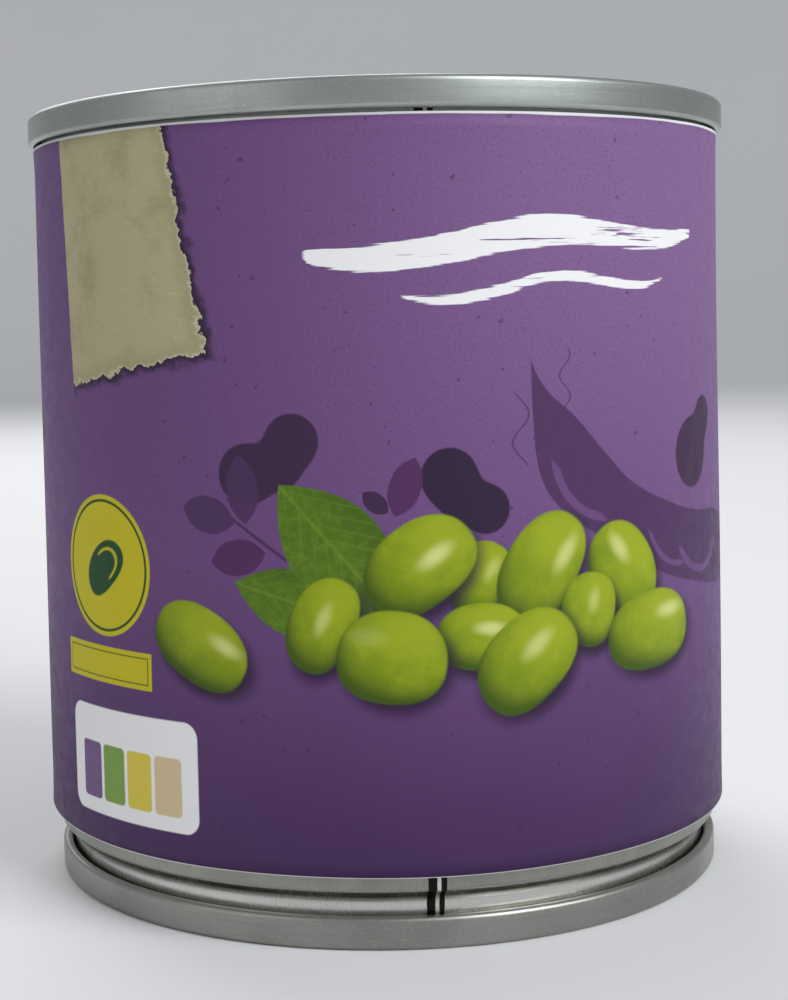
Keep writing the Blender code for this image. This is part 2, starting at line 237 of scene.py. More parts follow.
def tinplate():
    """Tin under dull lacquer. The neck below NECK_TOP has a painted highlight, much paler and a little
    smoother, for the bright reflection in its curve. It also has fine upright rolling lines, faint
    bloom, and the weld's dark heat marks on both sides of its bare bright track."""
    material, plan, _ = finish("tinplate")
    lines = mottle(stretched(plan, (9.0, 0.25, 1.0)), 1.0, 4.0, 0.6)
    bloom = mottle(plan, 0.16, 3.0)
    along, up, _ = separated(plan)
    neck_highlight = (up + (bloom - 0.5) * 0.5).ramp(NECK_TOP + 0.05, NECK_TOP - 0.25)
    edge = along + (mottle(plan, 1.3, 2.0) - 0.5) * 0.10
    mark = edge.ramp(WELD_LEFT - 0.05, WELD_LEFT + 0.05)
    mark = mark * edge.ramp(WELD_RIGHT + 0.05, WELD_RIGHT - 0.05)
    track = edge.ramp(WELD_TRACK_LEFT - 0.04, WELD_TRACK_LEFT + 0.04)
    track = track * edge.ramp(WELD_TRACK_RIGHT + 0.04, WELD_TRACK_RIGHT - 0.04)
    colour = painted((0.27, 0.28, 0.25), (0.34, 0.35, 0.31), bloom.ramp(0.35, 0.65))
    # Painted highlight: the neck below NECK_TOP is painted much paler, for the bright reflection in its
    # curve.
    colour = painted(colour, (0.66, 0.66, 0.625), neck_highlight)
    colour = painted(colour, (0.24, 0.235, 0.21), lines.ramp(0.50, 0.75, 0.0, 0.45))
    colour = painted(colour, (0.020, 0.017, 0.016), mark)
    colour = painted(colour, (0.72, 0.71, 0.66), track)
    rough = neck_highlight * -0.20 + bloom.ramp(0.3, 0.7, 0.38, 0.46)
    rough = rough + lines.ramp(0.45, 0.7, 0.0, 0.07) + mark * 0.15
    return coated(material, colour, rough, lines * 0.35 + mottle(plan, 2.2, 2.0) * 0.65, 0.010, 1.0)


def can_wall():
    """The wall's section from hook to hook, carried round; the beads are (1 - cos) grooves, and the
    weld's lap stands out as a smooth ridge round its angle."""
    wall = BODY_RADIUS - BODY_SHEET / 2
    top_hook, foot_hook = TOP_SEAM_RADIUS - BODY_HOOK_DEPTH, BOTTOM_SEAM_RADIUS - BODY_HOOK_DEPTH
    foot_wall, rim = BOTTOM_SEAM_RADIUS - SEAM_BODY_DEPTH, CAN_HEIGHT - SEAM_HEADROOM
    height = np.linspace(BEAD_TOP, BEAD_FOOT, BEADS * 10 + 1)
    phase = (height - BEAD_FOOT) / (BEAD_TOP - BEAD_FOOT) * BEADS * 2 * np.pi
    beaded = np.stack([wall - BEAD_DEPTH / 2 * (1 - np.cos(phase)), height], 1)
    top = bent([(top_hook, rim - BODY_HOOK_LENGTH, 0), (top_hook, rim, 0.4), (wall, rim, 0.4),
                (wall, BEAD_TOP + 1, 0)])
    foot = bent([(wall, BEAD_FOOT - 1, 0), (wall, NECK_TOP, 0.5), (foot_wall, 4.95, 1.7),
                 (foot_wall, SEAM_HEADROOM, 0.4), (foot_hook, SEAM_HEADROOM, 0.4),
                 (foot_hook, SEAM_HEADROOM + BODY_HOOK_LENGTH, 0)], 10)
    section = sheet(np.vstack([top, beaded, foot]), BODY_SHEET)
    weld = np.degrees((WELD_LEFT + WELD_RIGHT) / 2 / BODY_RADIUS)
    angles = np.linspace(-180, 180, TURN_FACETS + 1)
    angles = np.union1d(angles, weld + 2 * WELD_HALF_ANGLE * np.linspace(-1, 1, 33))
    points = carried_round(section, angles)
    lap = 1 + WELD_RISE / BODY_RADIUS * np.exp(-((angles - weld) / WELD_HALF_ANGLE) ** 4)
    points[..., :2] *= lap[:, None, None]
    plan = np.stack(np.broadcast_arrays(np.radians(angles)[:, None] * BODY_RADIUS, section[:, 1]), -1)
    return surface("body_wall", [points], [plan])


body_wall = can_wall()
body_wall.data.set_sharp_from_angle(angle=SHARP_EDGE)
body_wall.data.materials.append(tinplate())
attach(body_wall, "can")
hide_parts("can_body")

# ---- Ends ----
# Both ends are pressed from satin lacquered steel.  The curled edge is rolled together with the
# body's hook into a double seam, which shows as the flat band round the rim and round the foot.
END_SHEET = 0.22
END_HOOK_DEPTH, CHUCK_WALL_DEPTH, END_HOOK_LENGTH = 0.96, 1.86, 1.55
TOP_SEAM_HEIGHT, BOTTOM_SEAM_HEIGHT = 3.1, 3.2
PANEL_DEPTH, COUNTERSINK_DEPTH, COUNTERSINK_WIDTH, CHUCK_TAPER = 4.4, 5.1, 1.2, 0.5


def end_plate(name, colour, dark, seam_low, seam_high):
    """Satin end steel: rolling lines across the panel, lines left by the seaming rolls round the
    band, small scuffs, and a rubbed bright edge where the band turns over."""
    material, plan, place = finish(name)
    height = separated(place)[2]
    low, high, soft = seam_low * MM, seam_high * MM, 0.1 * MM
    band = height.ramp(low - soft, low + soft) * height.ramp(high + soft, high - soft)
    rolled = mottle(stretched(plan, (0.10, 7.0, 1.0)), 1.0, 4.0, 0.65)
    ground_lines = mottle(stretched(place, (300.0, 9000.0, 300.0)), 1.0, 3.0, 0.6)
    lines = rolled * band + ground_lines * (band * -1 + 1)
    grain = mottle(place, 5200.0, 2.0, 0.7)
    bloom = mottle(place, 95.0, 3.0)
    scuff = mottle(stretched(plan, (1.1, 0.5, 1.0)), 1.0, 5.0, 0.75).ramp(0.62, 0.70)
    shade = painted(colour, dark, bloom.ramp(0.35, 0.70, 0.0, 0.50))
    shade = painted(shade, dark, lines.ramp(0.50, 0.72, 0.0, 0.55))
    shade = painted(shade, tuple(1.22 * c for c in colour), grain.ramp(0.52, 0.68, 0.0, 0.5))
    shade = painted(shade, tuple(1.45 * c for c in colour), scuff * band * 0.5)
    rough = bloom.ramp(0.3, 0.7, 0.33, 0.42) + lines.ramp(0.4, 0.7, -0.03, 0.06) - scuff * band * 0.08
    return coated(material, shade, rough, lines * 0.6 + grain * 0.4, 0.008, 1.0)


def end_edge(seam_radius, seam_height):
    """Corners of an end's middle line from its hook round the seam into the countersink and up to the
    panel, with the rim at height 0."""
    half = END_SHEET / 2
    hook, chuck = seam_radius - END_HOOK_DEPTH, seam_radius - CHUCK_WALL_DEPTH
    outer = seam_radius - half
    lip, sink, panel = half - seam_height, -COUNTERSINK_DEPTH - half, -PANEL_DEPTH - half
    foot = chuck - CHUCK_TAPER
    return [(hook, lip + END_HOOK_LENGTH, 0), (hook, lip, 0.36), (outer, lip, 0.42),
            (outer, -half, 0.5), (chuck, -half, 0.62), (foot, sink, 0.45),
            (foot - COUNTERSINK_WIDTH, sink, 0.5), (foot - COUNTERSINK_WIDTH, panel, 0.45)]


def fine_steps(path, longest):
    """Splits each run of a path into equal parts no longer than `longest`."""
    parts = [path[:1]]
    for here, after in zip(path, path[1:]):
        count = int(np.ceil(np.hypot(*(after - here)) / longest))
        share = np.arange(1, count + 1)[:, None] / count
        parts.append(here + (after - here) * share)
    return np.vstack(parts)


def turned_plan(section, angles, radius):
    """The flat plan of a turned sheet: the way round at one radius, and the way along its section."""
    along = np.append(0, np.cumsum(np.hypot(*np.diff(section, axis=0).T)))
    return np.stack(np.broadcast_arrays(np.radians(angles)[:, None] * radius, along), -1)


# The bottom end has shallow steps and a middle dish, which let it bulge and fall back as the can is
# cooked and cooled.
FOOT_STEPS = ((30.5, 29.7, 0.65), (26.6, 25.9, -0.40), (22.5, 21.6, 0.80), (12.0, 10.9, -0.50))


def foot_end():
    """The bottom end's section, turned over so that its rim is the ring that the can stands on."""
    corners = end_edge(BOTTOM_SEAM_RADIUS, BOTTOM_SEAM_HEIGHT)
    height = corners[-1][1]
    for outer, inner, rise in FOOT_STEPS:
        corners += [(outer, height, 0.35), (inner, height - rise, 0.35)]
        height -= rise
    corners.append((0.0, height, 0))
    path = fine_steps(bent(corners, 12), 1.5)
    section = sheet(path, END_SHEET) * [1, -1]
    angles = np.linspace(-180, 180, TURN_FACETS + 1)
    return surface("foot_end", [carried_round(section, angles)],
                   [turned_plan(section, angles, BOTTOM_SEAM_RADIUS)])


foot = foot_end()
foot.data.set_sharp_from_angle(angle=SHARP_EDGE)
foot.data.materials.append(
    end_plate("foot_end_plate", (0.33, 0.335, 0.31), (0.21, 0.21, 0.19), -1.0, BOTTOM_SEAM_HEIGHT))
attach(foot, "can")
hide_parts("bottom_end")

# ---- Seam linings ----
# A thin bead of rubber is flowed into each end's curl before it is seamed.  It is squeezed flat over
# the body's hook and makes the double seam airtight.
LINING_INNER, LINING_OUTER = SEAM_BODY_DEPTH - 0.3, BODY_HOOK_DEPTH + 0.15
LINING_NEAR, LINING_FAR = 0.42, 0.80


def rubber_lining():
    """Pale grey-cream rubber with fine pores and a faint flow pattern."""
    material, _, place = finish("rubber_lining")
    pores = mottle(place, 2600.0, 3.0, 0.7)
    flow = mottle(place, 300.0, 2.0)
    colour = painted((0.60, 0.58, 0.50), (0.48, 0.46, 0.39), flow.ramp(0.35, 0.7))
    colour = painted(colour, (0.35, 0.33, 0.28), pores.ramp(0.62, 0.75, 0.0, 0.6))
    return coated(material, colour, flow.ramp(0.3, 0.7, 0.75, 0.88), pores, -0.02)


def lining_ring(name, seam_radius, low, high):
    """A flat bead, carried round: its section is |x|^4 + |y|^2 = 1 between the hook's two sides."""
    inner, outer = seam_radius - LINING_INNER, seam_radius - LINING_OUTER
    turn = np.radians(np.linspace(0, 360, 17))
    across, up = np.cos(turn), np.sin(turn)
    wide = np.sign(across) * np.sqrt(abs(across))
    section = np.stack([(inner + outer) / 2 + (outer - inner) / 2 * wide,
                        (low + high) / 2 + (high - low) / 2 * up], 1)
    return surface(name, [carried_round(section, np.linspace(-180, 180, TURN_FACETS // 2 + 1))])


rubber = rubber_lining()
for lining_name, node, radius, low, high in (
        ("top_seam_lining", "top_seam_compound", TOP_SEAM_RADIUS,
         CAN_HEIGHT - LINING_FAR, CAN_HEIGHT - LINING_NEAR),
        ("foot_seam_lining", "bottom_seam_compound", BOTTOM_SEAM_RADIUS, LINING_NEAR, LINING_FAR)):
    lining = lining_ring(lining_name, radius, low, high)
    lining.data.materials.append(rubber)
    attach(lining, "can")
    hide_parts(node)

# ---- Contents ----
# Cooked soya beans, filled wet to a little headspace under the lid.  They lie packed in layers, each
# bean curved a little about its inner side.
FILL_FOOT, FILL_TOP, FILL_LAYERS = 5.95, 72.0, 9
BEAN_HALF = (5.1, 3.8, 3.66)
BEAN_RINGS = ((31.4, 18), (22.8, 13), (14.0, 8), (4.4, 2))
GOLDEN_ANGLE = 137.5


def packed_beans():
    """Each bean is a ball stretched to three half sizes, whose long axis is bent by x^2 / 12 of its
    width towards the can's middle.  Beans stand end to end round the rings of a layer, and every
    layer is turned on by the golden angle."""
    draw = np.random.default_rng(7)
    layers = np.arange(FILL_LAYERS)
    pitch = (FILL_TOP - FILL_FOOT - 2 * BEAN_HALF[2]) / (FILL_LAYERS - 1)
    ring_radius = np.concatenate([np.full(count, radius) for radius, count in BEAN_RINGS])
    ring_angle = np.concatenate([np.arange(count) * 360 / count for _, count in BEAN_RINGS])
    angle = np.radians(ring_angle[None] + layers[:, None] * GOLDEN_ANGLE).ravel()
    radius = np.tile(ring_radius, FILL_LAYERS)
    middle = np.repeat(FILL_FOOT + BEAN_HALF[2] + layers * pitch, len(ring_radius))
    size = draw.uniform(0.93, 1.0, (len(angle), 1, 1))
    lean = draw.uniform(-0.10, 0.10, (len(angle), 1, 1))
    poles, girths = np.linspace(0, np.pi, 7), np.linspace(0, 2 * np.pi, 9)
    pole, girth = np.meshgrid(poles, girths, indexing="ij")
    plump = np.sin(pole) ** 0.85
    ahead = BEAN_HALF[0] * np.cos(pole) * size
    out = BEAN_HALF[1] * plump * np.cos(girth) * size
    rise = BEAN_HALF[2] * plump * np.sin(girth) * size * 0.985 + ahead * lean * 0.3
    out = out - (ahead / BEAN_HALF[0]) ** 2 * BEAN_HALF[1] / 12
    turn = angle[:, None, None]
    away = radius[:, None, None] + out
    beans = np.stack([away * np.sin(turn) + ahead * np.cos(turn),
                      -away * np.cos(turn) + ahead * np.sin(turn),
                      middle[:, None, None] + rise], -1)
    return surface("packed_beans", list(beans))


def bean_skin():
    """Wet green skins: each place in the heap has its own green, with fine veins and pale spots."""
    material, _, place = finish("bean_skin")
    heap, skin = mottle(place, 95.0, 1.0), mottle(place, 900.0, 4.0, 0.65)
    colour = painted((0.17, 0.25, 0.010), (0.36, 0.40, 0.035), heap.ramp(0.35, 0.65))
    colour = painted(colour, (0.46, 0.48, 0.12), skin.ramp(0.55, 0.75, 0.0, 0.6))
    return coated(material, colour, skin.ramp(0.3, 0.7, 0.26, 0.40), skin, 0.06)


beans = packed_beans()
beans.data.materials.append(bean_skin())
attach(beans, "can")
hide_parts("beans_in_brine")

# ---- Lid ----
# The top end is scored round its panel so that it tears open.  Two long beads stiffen the panel, a
# finger well lies under the ring's end, and the panel's own steel is drawn up and flattened into
# the rivet that holds the ring pull.
SCORE_RADIUS, SCORE_HALF_WIDTH, SCORE_DEPTH = 32.3, 0.22, 0.072
BEAD_RADIUS, WELL_Y, SEAT_RADIUS, PANEL_EDGE = 23.5, 3.4, 3.3, 33
RIVET_Y, RIVET_FOOT = -25.35, 78.2


def panel_relief(points):
    """Presses the lid's panel: two arc beads beside the ring, a finger well under its end and a
    raised seat round the rivet.  Each is a smooth bump of the distance from its middle line."""
    x, y = points[..., 0], points[..., 1]
    radius, side = np.hypot(x, y), np.degrees(np.arctan2(y, np.abs(x)))
    beyond = np.radians(np.maximum(np.abs(side - 4) - 44, 0)) * radius
    bead = 0.5 * np.exp(-((np.hypot(radius - BEAD_RADIUS, beyond) / 1.1) ** 3))
    well = -0.75 * np.exp(-(((x / 9.5) ** 2 + ((y - WELL_Y) / 6.0) ** 2) ** 2))
    seat = 0.85 * np.exp(-((np.hypot(x, y - RIVET_Y) / SEAT_RADIUS) ** 4))
    ring = -0.32 * np.exp(-(((radius - 30.6) / 0.55) ** 2))
    points[..., 2] += np.where(radius < PANEL_EDGE, bead + well + seat + ring, 0)
    return points


def rivet_button():
    """The rivet: a short shank with a flattened round head, turned about its own upright axis."""
    section = bent([(1.55, RIVET_FOOT, 0), (1.55, 79.13, 0.1), (2.65, 79.16, 0.12),
                    (2.75, 79.50, 0.25), (1.5, 79.72, 1.0), (1.1, 79.62, 0.4), (0.0, 79.60, 0)], 20)
    section = np.vstack([[0.0, RIVET_FOOT], section])
    return carried_round(section, np.linspace(-180, 180, 49)) + [0, RIVET_Y, 0]


def lid_end():
    """The lid's section with its score groove, carried round and pressed, and the rivet on it."""
    corners = end_edge(TOP_SEAM_RADIUS, TOP_SEAM_HEIGHT)
    panel = corners[-1][1]
    corners += [(SCORE_RADIUS + SCORE_HALF_WIDTH, panel, 0), (SCORE_RADIUS, panel - SCORE_DEPTH, 0),
                (SCORE_RADIUS - SCORE_HALF_WIDTH, panel, 0), (0.0, panel, 0)]
    path = fine_steps(bent(corners, 12), 0.75)
    section = sheet(path, END_SHEET) + [0, CAN_HEIGHT]
    angles = np.linspace(-180, 180, TURN_FACETS + 1)
    points = panel_relief(carried_round(section, angles))
    plan = turned_plan(section, angles, TOP_SEAM_RADIUS)
    return surface("lid_end", [points, rivet_button()], [plan, None])


lid = lid_end()
lid.data.set_sharp_from_angle(angle=SHARP_EDGE)
lid.data.materials.append(
    end_plate("lid_end_plate", (0.38, 0.41, 0.385), (0.27, 0.295, 0.275),
              CAN_HEIGHT - TOP_SEAM_HEIGHT, CAN_HEIGHT + 1))
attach(lid, "can")
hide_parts("top_end")

# ---- Ring pull ----
# The ring pull is stamped from bright steel strip.  Its outer edge and the edge of its finger hole
# are curled into round rims, with thin web between them, and a tongue cut free in its window is
# clamped by the rivet.  It lifts by bending that tongue, so the tongue stays behind on the lid.
RING_Y, RING_RADIUS, FINGER_HOLE = -7.6, 11.5, (8.4, 8.6)
NOSE_Y, NOSE_CORNER, NOSE_HALF_WIDTH = -31.7, 2.0, 7.4
TAB_MIDDLE, TAB_HALF, TAB_SPLIT = 79.15, 0.55, -18.7
RIM_HALF, INNER_RIM_HALF, LIP_HALF, WEB_HALF = 0.72, 0.60, 0.30, 0.17
WINDOW_HALF, WINDOW_CORNER, BAR_HALF = (4.0, 4.1), 1.2, (3.4, 0.45)
TONGUE_HALF, TONGUE_CORNER, TONGUE_HOLE, TONGUE_MIDDLE = (3.7, 3.8), 1.0, 1.75, 78.85
PULL_SHARP_EDGE = np.radians(40)


def arc(centre, radius, start, stop, steps):
    """Points on a circle, or on an ellipse if radius is a pair, from one angle to another."""
    turn = np.radians(np.linspace(start, stop, steps + 1))
    return np.array(centre) + np.array(radius) * np.stack([np.cos(turn), np.sin(turn)], 1)


def round_box(half_x, half_y, centre_y, corner, steps=6):
    """The outline of a rectangle with round corners, centred on X = 0."""
    x, y = half_x - corner, half_y - corner
    middles = ((x, y, 0), (-x, y, 90), (-x, -y, 180), (x, -y, 270))
    return np.vstack([arc((mx, centre_y + my), corner, a, a + 90, steps) for mx, my, a in middles])


def tab_outline(inset):
    """The pull's edge, moved in by inset: nose corners and ring end are arcs, and the flanks are the
    lines that touch both, whose normal n has n . (ring - corner) = corner radius - ring radius."""
    corner = np.array([NOSE_HALF_WIDTH - NOSE_CORNER, NOSE_Y + NOSE_CORNER + 0.3])
    gap = np.array([0.0, RING_Y]) - corner
    lean = np.degrees(np.arccos((NOSE_CORNER - RING_RADIUS) / np.hypot(*gap)))
    flank = np.degrees(np.arctan2(gap[1], gap[0])) - lean
    right = arc(corner, NOSE_CORNER - inset, -88, flank, 10)
    end = arc((0, RING_Y), RING_RADIUS - inset, flank, 180 - flank, 64)
    return np.vstack([right, end, right[::-1] * [-1, 1], [[0.0, NOSE_Y + inset]]])


def rim(path, half_width, half_height, height, turns=14):
    """A closed rim: an ellipse carried along a closed flat path, upright and square to it."""
    path = fine_steps(np.vstack([path, path[:1]]), 0.8)[:-1]
    ahead = np.roll(path, -1, 0) - np.roll(path, 1, 0)
    across = np.stack([ahead[:, 1], -ahead[:, 0]], 1) / np.hypot(*ahead.T)[:, None]
    turn = np.radians(np.linspace(0, 360, turns + 1))
    flat = path[:, None] + across[:, None] * (half_width * np.cos(turn))[:, None]
    upright = np.broadcast_to(height + half_height * np.sin(turn), flat.shape[:2])
    points = np.concatenate([flat, upright[..., None]], -1)
    return np.vstack([points, points[:1]])


def ray(centre, outline, turn):
    """How far a convex outline lies from a centre along each angle: the nearest of its edge lines."""
    edge = np.roll(outline, -1, 0) - outline
    edge, start = edge[np.hypot(*edge.T) > 1e-9], outline[np.hypot(*edge.T) > 1e-9]
    normal = np.stack([edge[:, 1], -edge[:, 0]], 1) / np.hypot(*edge.T)[:, None]
    offset = ((start - centre) * normal).sum(1)
    facing = np.stack([np.cos(turn), np.sin(turn)], 1) @ normal.T
    return np.where(facing > 1e-6, offset / np.maximum(facing, 1e-6), np.inf).min(1)


def web(centre, outer, hole, height, half, edge=0.0):
    """A flat plate with a hole: for each angle about its centre it runs out over the top, from the
    hole to the outline, and back underneath, with its edges rounded by `edge`."""
    turn = np.radians(np.linspace(0, 360, 181))
    low, high = ray(centre, hole, turn), ray(centre, outer, turn)
    fillet = np.radians(np.linspace(0, 180, 7 if edge else 2))
    loop = [(low + edge * (1 - np.sin(a)), height - half * np.cos(a)) for a in fillet]
    loop += [(high - edge * (1 - np.sin(a)), height + half * np.cos(a)) for a in fillet]
    loop.append(loop[0])
    flat = [np.stack([centre[0] + r * np.cos(turn), centre[1] + r * np.sin(turn), z + 0 * r], 1)
            for r, z in loop]
    return np.stack(flat, 1)


def cut(outline, above):
    """The part of a convex outline above the split line or below it, in order round its middle.  The
    split line ends where it meets the outline on either side."""
    end = ray(np.array([0, TAB_SPLIT]), outline, np.zeros(1))[0]
    kept = outline[(outline[:, 1] > TAB_SPLIT) == above]
    points = np.vstack([kept, [[-end, TAB_SPLIT], [end, TAB_SPLIT]]])
    return points[np.argsort(np.arctan2(*(points - points.mean(0)).T[::-1]))]


def ring_pull():
    """Rims round the outside, the finger hole and the window, and the web between them in two
    plates that meet at the split line, with a stiffening bar across the web."""
    outside = tab_outline(RIM_HALF)
    finger = arc((0, RING_Y), np.add(FINGER_HOLE, INNER_RIM_HALF), 0, 360, 72)[:-1]
    window = round_box(*np.add(WINDOW_HALF, LIP_HALF), RIVET_Y, WINDOW_CORNER + LIP_HALF)
    bar = arc((0, TAB_SPLIT - 0.15), BAR_HALF, 0, 360, 40)[:-1]
    grids = [
        rim(outside, RIM_HALF, TAB_HALF, TAB_MIDDLE),
        rim(finger, INNER_RIM_HALF, TAB_HALF * 0.9, TAB_MIDDLE - 0.03),
        rim(window, LIP_HALF, TAB_HALF * 0.62, TAB_MIDDLE - 0.12, 10),
        rim(bar, 0.42, 0.34, TAB_MIDDLE + 0.1, 10),
        web((0, RING_Y), cut(outside, True), finger, TAB_MIDDLE - 0.05, WEB_HALF),
        web((0, RIVET_Y), cut(outside, False), window, TAB_MIDDLE - 0.05, WEB_HALF - 0.01),
    ]
    return surface("ring_pull", grids)


def pull_metal():
    """Bright strip: fine drawing lines along the pull, small dents and a bluish lacquer bloom."""
    material, _, place = finish("pull_metal")
    lines = mottle(stretched(place, (9000.0, 500.0, 3000.0)), 1.0, 3.0, 0.6)
    bloom = mottle(place, 160.0, 3.0)
    colour = painted((0.66, 0.66, 0.64), (0.50, 0.51, 0.51), bloom.ramp(0.35, 0.7))
    colour = painted(colour, (0.42, 0.42, 0.41), lines.ramp(0.55, 0.75, 0.0, 0.5))
    rough = bloom.ramp(0.3, 0.7, 0.22, 0.32) + lines * 0.08
    return coated(material, colour, rough, lines * 0.5 + mottle(place, 420.0, 2.0) * 0.5, 0.012, 1.0)


pull_finish = pull_metal()
pull = ring_pull()
pull.data.set_sharp_from_angle(angle=PULL_SHARP_EDGE)
pull.data.materials.append(pull_finish)
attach(pull, "lifting_ring")
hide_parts("pull_ring")

# The tongue is a small plate of the same strip, with a hole for the rivet's shank.
tongue_edge = round_box(*TONGUE_HALF, RIVET_Y, TONGUE_CORNER)
tongue_hole = arc((0, RIVET_Y), TONGUE_HOLE, 0, 360, 48)[:-1]
tongue = surface("rivet_tongue", [
    web((0, RIVET_Y), tongue_edge, tongue_hole, TONGUE_MIDDLE, half=0.2, edge=0.12)])
tongue.data.set_sharp_from_angle(angle=PULL_SHARP_EDGE)
tongue.data.materials.append(pull_finish)
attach(tongue, "can")
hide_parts("ring_tongue")

# ---- Paper label ----
# A loose sleeve of varnished paper, wound once round the can.  It laps over its own start at the
# back, where one upright line of hot glue holds it to the wall and another holds the lap down.
LABEL_RADIUS, LABEL_PAPER = 37.5, 0.12
LABEL_BOTTOM, LABEL_TOP = 7.3, 78.6
LAP_HALF, LAP_RISE, LAP_START, LAP_STEP = 9.0, 0.3, 166, 5


def sleeve_radius(turn, height):
    """The radius of the sleeve's outer face: the label's, with low waves that repeat every turn, and a
    little flare at the cut edges."""
    wave = 0.05 * np.sin(5 * turn + 0.06 * height) + 0.04 * np.sin(3 * turn - 0.11 * height + 1)
    edge = sum(np.exp(-(((height - end) / 1.6) ** 2)) for end in (LABEL_BOTTOM, LABEL_TOP))
    return LABEL_RADIUS - 0.1 + wave + edge * 0.07 * (1 + np.sin(7 * turn + 0.4 * np.sin(2 * turn)))


def label_sleeve():
    """The sleeve's outer face, once round and a lap more.  From 166 to 171 degrees it rises smoothly
    by the lap's rise, to pass over its own start."""
    angles = np.linspace(-180 - LAP_HALF, 180 + LAP_HALF, 253)
    heights = np.linspace(LABEL_BOTTOM, LABEL_TOP, 49)
    turn, height = np.meshgrid(np.radians(angles), heights, indexing="ij")
    over = np.clip((turn - np.radians(LAP_START)) / np.radians(LAP_STEP), 0, 1)
    radius = sleeve_radius(turn, height) + LAP_RISE * over ** 2 * (3 - 2 * over)
    points = np.stack([radius * np.sin(turn), -radius * np.cos(turn), height], -1)
    return surface("label_sleeve", [points], [np.stack([turn * LABEL_RADIUS, height], -1)])


def within(reach, limit=1.0, soft=0.03):
    """1 where a reach is below its limit and 0 above it, with a soft edge."""
    return reach.ramp(limit + soft, limit - soft)


def oval(plan, centre, half, angle, power=2.0, bow=0.0):
    """An oval's own x and y, and how far out a point lies: (|x|^power + |y|^power)^(1 / power), which
    is 1 on the edge.  A bow bends the oval's long axis."""
    x, y = placed(plan, centre, angle, half)
    if bow:
        y = y + x * x * bow
    return x, y, (abs(x) ** power + abs(y) ** power) ** (1 / power)


def from_point(plan, centre):
    """The distance of each place on the plan from one point, in millimetres."""
    return plan.node("VectorMath", {0: plan, 1: (*centre, 0)}, "Value", operation="DISTANCE")


def along_curve(field, points):
    """A value that follows a smooth curve through given (place, value) points; the curve's box
    runs from the first place to the last, and from the least value to the greatest."""
    node = field.tree.nodes.new("ShaderNodeFloatCurve")
    values = [value for _, value in points]
    low, high, bottom, top = points[0][0], points[-1][0], min(values), max(values)
    curve = node.mapping.curves[0]
    while len(curve.points) < len(points):
        curve.points.new(0.5, 0.5)
    for point, (place, value) in zip(curve.points, points):
        point.location = (place - low) / (high - low), (value - bottom) / (top - bottom)
    node.mapping.update()
    connect(field.tree, node.inputs["Value"], (field - low) * (1 / (high - low)))
    return Field(field.tree, node.outputs[0]) * (top - bottom) + bottom


# The print, in millimetres on the flat label: across from the middle of the front, and up from the
# floor.  Each bean has its centre, half sizes, angle, and where its gloss lies and how strong it is;
# they are listed from the back of the heap to its front.
PURPLE, PURPLE_LOW = (0.132, 0.060, 0.182), (0.050, 0.018, 0.080)
PURPLE_SHEEN, SHADOW_INK = (0.215, 0.118, 0.275), (0.016, 0.005, 0.024)
PLUM, PLUM_DARK = (0.036, 0.013, 0.045), (0.017, 0.007, 0.027)
PLUM_MID, PLUM_RED = (0.062, 0.024, 0.086), (0.070, 0.018, 0.085)
BEAN_SHADE, BEAN_GREEN = (0.045, 0.085, 0.002), (0.185, 0.260, 0.003)
BEAN_LIGHT, BEAN_GLOSS = (0.320, 0.385, 0.012), (0.620, 0.640, 0.230)
LEAF_GREEN, LEAF_LIGHT = (0.070, 0.145, 0.005), (0.135, 0.225, 0.018)
LEAF_DARK, BEIGE = (0.018, 0.050, 0.003), (0.41, 0.37, 0.215)
BEIGE_DARK, BEIGE_LIGHT = (0.29, 0.255, 0.135), (0.58, 0.54, 0.38)
YELLOW, GREEN_INK = (0.52, 0.46, 0.008), (0.010, 0.060, 0.016)
WHITE_INK, BLACK_INK = (0.78, 0.78, 0.78), (0.035, 0.03, 0.04)
BEANS = (
    ((9.2, 35.4), (3.6, 2.9), 60, (0.35, -0.25), 0.45),
    ((25.7, 34.9), (5.3, 4.0), -50, (-0.42, 0.20), 0.70),
    ((15.6, 35.9), (5.9, 3.9), 55, (0.42, -0.38), 0.70),
    ((3.5, 36.8), (5.7, 4.0), 35, (0.30, -0.05), 0.85),
    ((20.9, 31.5), (3.6, 3.3), 80, (0.25, -0.15), 0.45),
    ((9.5, 29.8), (4.6, 3.2), -3, (0.15, 0.25), 0.85),
    ((-5.8, 31.3), (4.7, 3.1), 65, (0.12, 0.02), 0.55),
    ((0.8, 28.2), (5.2, 4.4), -5, (-0.45, 0.40), 0.20),
    ((29.6, 28.6), (6.3, 3.9), 3, (0.48, 0.38), 0.75),
    ((14.0, 27.3), (5.7, 4.1), 40, (0.30, 0.10), 0.65),
    ((-18.4, 28.9), (5.5, 3.7), -28, (0.46, 0.36), 0.75),
)
POD_CREST = ((14.6, 56.0), (16.4, 52.7), (19.6, 50.0), (23.1, 46.5), (27.1, 43.2), (31.9, 41.2),
             (38.2, 39.6), (45.0, 39.0), (52.0, 36.8), (57.0, 33.0))
POD_BELLY = ((14.6, 56.0), (14.9, 50.2), (15.2, 46.4), (16.3, 43.2), (18.4, 40.9), (22.5, 38.4),
             (31.7, 33.9), (38.0, 32.3), (46.0, 31.2), (52.0, 31.4), (57.0, 33.0))
SEEDS = (
    (PLUM, (-8.3, 48.5, 2.6), (-12.8, 45.4, 2.9), (-9.5, 46.0, 2.0)),
    (PLUM_DARK, (6.5, 44.9, 2.75), (10.0, 41.8, 2.35), (7.4, 42.7, 1.7)),
    (PLUM, (37.8, 45.5, 3.6), (41.0, 49.0, 2.1)),
)
SPRIG_LEAVES = (
    (PLUM_MID, (-17.0, 41.5), (2.9, 1.75), -15),
    (PLUM_RED, (-13.9, 37.5), (2.9, 1.7), 10),
    (PLUM_MID, (-13.3, 44.0), (3.3, 1.6), 95),
    (PLUM, (-0.5, 42.7), (1.5, 0.9), -40),
    (PLUM_RED, (2.3, 44.1), (2.9, 1.5), 70),
)
